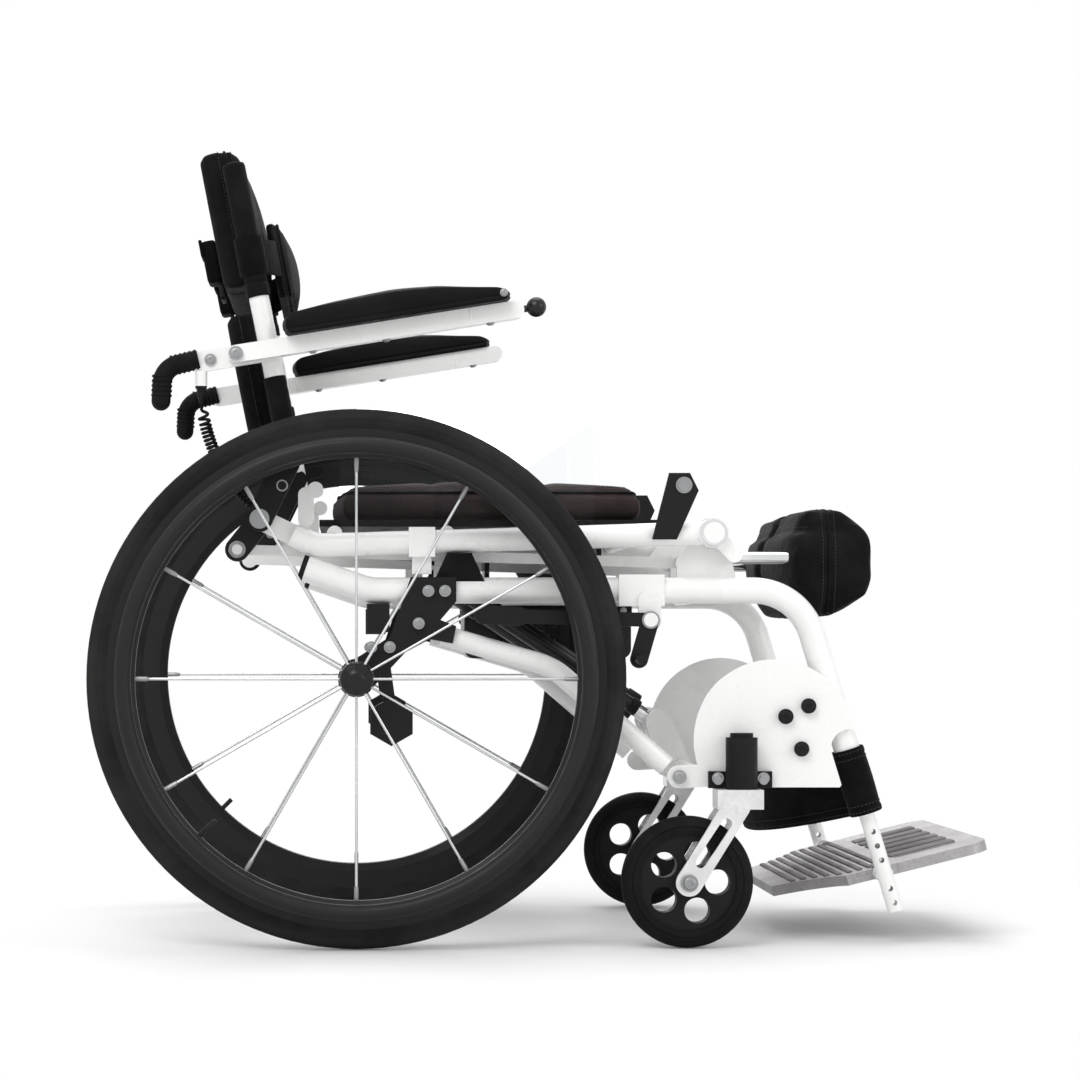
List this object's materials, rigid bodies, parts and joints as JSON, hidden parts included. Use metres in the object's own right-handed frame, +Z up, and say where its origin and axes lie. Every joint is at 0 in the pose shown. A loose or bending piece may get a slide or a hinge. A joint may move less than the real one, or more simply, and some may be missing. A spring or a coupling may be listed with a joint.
{
  "type": "standing wheelchair",
  "caption": "Manual wheelchair with hand-rim wheels, swivel casters, arms and footplate; its powered seat lifts the sitter to stand while the back stays upright.",
  "frame": {"origin": "point on the floor below the middle of the chair's overall length and width, seated", "axes": "+X forward, +Y to the chair's left, +Z up"},
  "size_m": [1.0394, 0.626, 0.9229],
  "materials": {
    "frame_white": "gloss white powder coat",
    "black_metal": "satin black",
    "steel": "zinc plated",
    "spoke_steel": "bright drawn wire",
    "chrome": "polished",
    "aluminium": "satin",
    "tyre": "dark grey rubber",
    "rim_grey": "satin dark grey",
    "black_rubber": "matt",
    "black_plastic": "moulded matt",
    "gloss_black": "gloss",
    "clear_plastic": "clear sheet",
    "seat_cover": "black woven cover",
    "back_cover": "black woven cover",
    "pad_cover": "smooth black cover",
    "arm_cover": "self skinned foam",
    "webbing": "black webbing",
    "cord_black": "matt jacket"
  },
  "bodies": {
    "base": {"side_frames": "frame_white", "base_cross_tubes": "frame_white", "lower_tubes": "frame_white", "caster_plates": "frame_white", "caster_housings": "black_plastic", "axle_plates": "black_metal", "base_bolts": "steel", "tube_plugs": "black_plastic", "lock_clamps": "frame_white", "seat_rests": "black_rubber", "knee_brackets": "frame_white", "calf_strap": "webbing"},
    "wheel_right": {"tyre_right": "tyre", "rim_right": "rim_grey", "spokes_right": "spoke_steel", "hand_rim_right": "rim_grey"},
    "caster_fork_right": {"caster_fork_right": "aluminium"},
    "caster_wheel_right": {"caster_tyre_right": "tyre", "caster_rim_right": "black_plastic"},
    "wheel_left": {"tyre_left": "tyre", "rim_left": "rim_grey", "spokes_left": "spoke_steel", "hand_rim_left": "rim_grey"},
    "caster_fork_left": {"caster_fork_left": "aluminium"},
    "caster_wheel_left": {"caster_tyre_left": "tyre", "caster_rim_left": "black_plastic"},
    "seat": {"seat_rails": "frame_white", "seat_cross_tubes": "frame_white", "seat_pan": "black_plastic", "seat_cushion": "seat_cover", "front_brackets": "black_metal", "rail_fittings": "frame_white", "seat_bolts": "chrome", "side_guards": "clear_plastic", "battery_box": "gloss_black"},
    "backrest": {"hinge_plates": "black_metal", "back_tubes": "frame_white", "back_panel": "back_cover", "back_pad": "back_cover", "chest_pad": "back_cover", "arm_plates": "frame_white", "push_grips": "black_rubber", "curly_cord": "cord_black"},
    "back_levers": {"back_levers": "black_plastic"},
    "arm_right": {"arm_tube_right": "frame_white", "arm_pad_right": "arm_cover"},
    "arm_left": {"arm_tube_left": "frame_white", "arm_pad_left": "arm_cover"},
    "control_knob": {"control_knob": "gloss_black"},
    "back_links": {"back_links": "frame_white"},
    "lift_tubes": {"actuator_tube": "gloss_black", "gas_cylinders": "gloss_black"},
    "lift_rods": {"actuator_rod": "chrome", "gas_rods": "chrome"},
    "footrest": {"foot_tubes": "frame_white"},
    "footplate": {"footplate": "aluminium"},
    "knee_support": {"knee_rods": "chrome", "knee_pad": "pad_cover"},
    "wheel_lock_right": {"wheel_lock_right": "black_metal"},
    "wheel_lock_left": {"wheel_lock_left": "black_metal"}
  },
  "joints": [
    {"name": "wheel_right_spin", "type": "hinge", "parent": "base", "child": "wheel_right", "pos_m": [-0.21471, -0.268, 0.305], "axis": [0, 1, 0], "continuous": true},
    {"name": "caster_right_swivel", "type": "hinge", "parent": "base", "child": "caster_fork_right", "pos_m": [0.22229, -0.254, 0.183], "axis": [0, 0, 1], "continuous": true},
    {"name": "caster_right_spin", "type": "hinge", "parent": "caster_fork_right", "child": "caster_wheel_right", "pos_m": [0.16029, -0.254, 0.075], "axis": [0, 1, 0], "continuous": true},
    {"name": "wheel_left_spin", "type": "hinge", "parent": "base", "child": "wheel_left", "pos_m": [-0.21471, 0.268, 0.305], "axis": [0, 1, 0], "continuous": true},
    {"name": "caster_left_swivel", "type": "hinge", "parent": "base", "child": "caster_fork_left", "pos_m": [0.22229, 0.254, 0.183], "axis": [0, 0, 1], "continuous": true},
    {"name": "caster_left_spin", "type": "hinge", "parent": "caster_fork_left", "child": "caster_wheel_left", "pos_m": [0.16029, 0.254, 0.075], "axis": [0, 1, 0], "continuous": true},
    {"name": "stand", "type": "hinge", "parent": "base", "child": "seat", "pos_m": [0.19429, 0, 0.472], "axis": [0, 1, 0], "range_deg": [0, 79]},
    {"name": "back_upright", "type": "hinge", "parent": "seat", "child": "backrest", "pos_m": [-0.32571, 0, 0.488], "axis": [0, 1, 0], "range_deg": [-75.3, 0], "deforming": ["curly_cord"]},
    {"name": "back_lever_lift", "type": "hinge", "parent": "backrest", "child": "back_levers", "pos_m": [-0.29671, 0, 0.561], "axis": [0, 1, 0], "range_deg": [-25, 0]},
    {"name": "arm_right_flip", "type": "hinge", "parent": "backrest", "child": "arm_right", "pos_m": [-0.35171, -0.235, 0.675], "axis": [0, 1, 0], "range_deg": [-100, 0]},
    {"name": "arm_left_flip", "type": "hinge", "parent": "backrest", "child": "arm_left", "pos_m": [-0.35171, 0.235, 0.675], "axis": [0, 1, 0], "range_deg": [-100, 0]},
    {"name": "knob_tilt", "type": "hinge", "parent": "arm_right", "child": "control_knob", "pos_m": [-0.03368, -0.235, 0.72537], "axis": [0, 1, 0], "range_deg": [-15, 15], "stiffness_Nm_per_rad": 0.06},
    {"name": "back_link_swing", "type": "hinge", "parent": "base", "child": "back_links", "pos_m": [0.16729, 0, 0.438], "axis": [0, 1, 0], "range_deg": [0, 79]},
    {"name": "lift_swing", "type": "hinge", "parent": "seat", "child": "lift_tubes", "pos_m": [-0.11071, -0.03, 0.421], "axis": [0, 1, 0], "range_deg": [-29.2, 0]},
    {"name": "lift_extend", "type": "slide", "parent": "lift_tubes", "child": "lift_rods", "axis": [0.8345, 0, -0.5509], "range_m": [0, 0.2066]},
    {"name": "footrest_height", "type": "slide", "parent": "base", "child": "footrest", "axis": [0.2907, 0, -0.9568], "range_m": [-0.034, 0.017]},
    {"name": "footplate_tilt", "type": "hinge", "parent": "footrest", "child": "footplate", "pos_m": [0.39212, 0, 0.08068], "axis": [0, 1, 0], "range_deg": [0, 10]},
    {"name": "knee_pad_depth", "type": "slide", "parent": "base", "child": "knee_support", "axis": [1, 0, 0], "range_m": [-0.066, 0]},
    {"name": "wheel_lock_right_throw", "type": "hinge", "parent": "base", "child": "wheel_lock_right", "pos_m": [0.12029, -0.2405, 0.372], "axis": [0, 1, 0], "range_deg": [0, 14]},
    {"name": "wheel_lock_left_throw", "type": "hinge", "parent": "base", "child": "wheel_lock_left", "pos_m": [0.12029, 0.2405, 0.372], "axis": [0, 1, 0], "range_deg": [0, 14]}
  ],
  "couplings": [
    {"joint": "back_upright", "follows": "stand", "ratio": -0.952},
    {"joint": "back_link_swing", "follows": "stand", "ratio": 1},
    {"joint": "lift_swing", "follows": "stand", "ratio": -0.36789},
    {"joint": "lift_extend", "follows": "stand", "m_per_rad": 0.14966}
  ]
}
